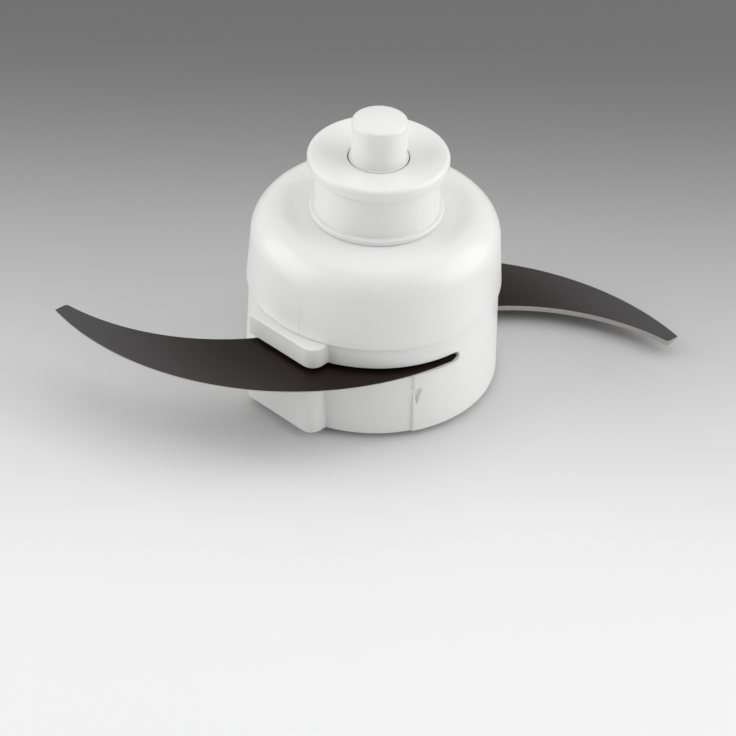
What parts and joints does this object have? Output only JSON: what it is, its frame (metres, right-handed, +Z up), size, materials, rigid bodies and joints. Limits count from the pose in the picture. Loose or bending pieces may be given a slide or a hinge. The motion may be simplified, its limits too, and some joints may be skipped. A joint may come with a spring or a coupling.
{
  "type": "food processor chopping knife",
  "caption": "Chopping-knife unit for a food processor bowl: moulded hub, sickle blades at opposite sides and heights, hexagon drive socket and a sprung turning pin on top.",
  "frame": {"origin": "hub axis at the rest plane", "axes": "+Z up along the hub axis, blade tips towards -X (upper) and +X (lower)"},
  "size_m": [0.1491, 0.069, 0.0677],
  "materials": {
    "white_plastic": "satin moulded",
    "coated_blade_steel": "dark satin coating, ground edge",
    "bright_steel": "bright zinc",
    "seal_rubber": "matte",
    "bearing_plastic": "natural acetal",
    "socket_plastic": "glass-filled nylon"
  },
  "bodies": {
    "hub": {"base_cover": "white_plastic", "cap_screws": "bright_steel", "cover_screws": "bright_steel", "drive_socket": "socket_plastic", "hub_base": "white_plastic", "hub_cap": "white_plastic", "knob_screws": "bright_steel", "knob_seal_ring": "seal_rubber", "lift_knob": "white_plastic", "lower_blade": "coated_blade_steel", "pin_bush": "bearing_plastic", "socket_clip": "bright_steel", "spindle_bush": "bearing_plastic", "spindle_grip_ring": "seal_rubber", "upper_blade": "coated_blade_steel", "upper_blade_screws": "bright_steel"},
    "pin_carriage": {"spring_cup": "bearing_plastic", "thrust_ball": "bright_steel", "pin_spring": "bright_steel"},
    "turning_pin": {"thrust_pin": "white_plastic", "pin_clip": "bright_steel"}
  },
  "joints": [
    {"name": "pin_press", "type": "slide", "parent": "hub", "child": "pin_carriage", "axis": [0, 0, 1], "range_m": [-0.0025, 0], "stiffness_N_per_m": 800, "springref_m": 0.004, "deforming": ["pin_spring"]},
    {"name": "pin_spin", "type": "hinge", "parent": "pin_carriage", "child": "turning_pin", "pos_m": [0, 0, 0.05], "axis": [0, 0, 1], "continuous": true}
  ]
}
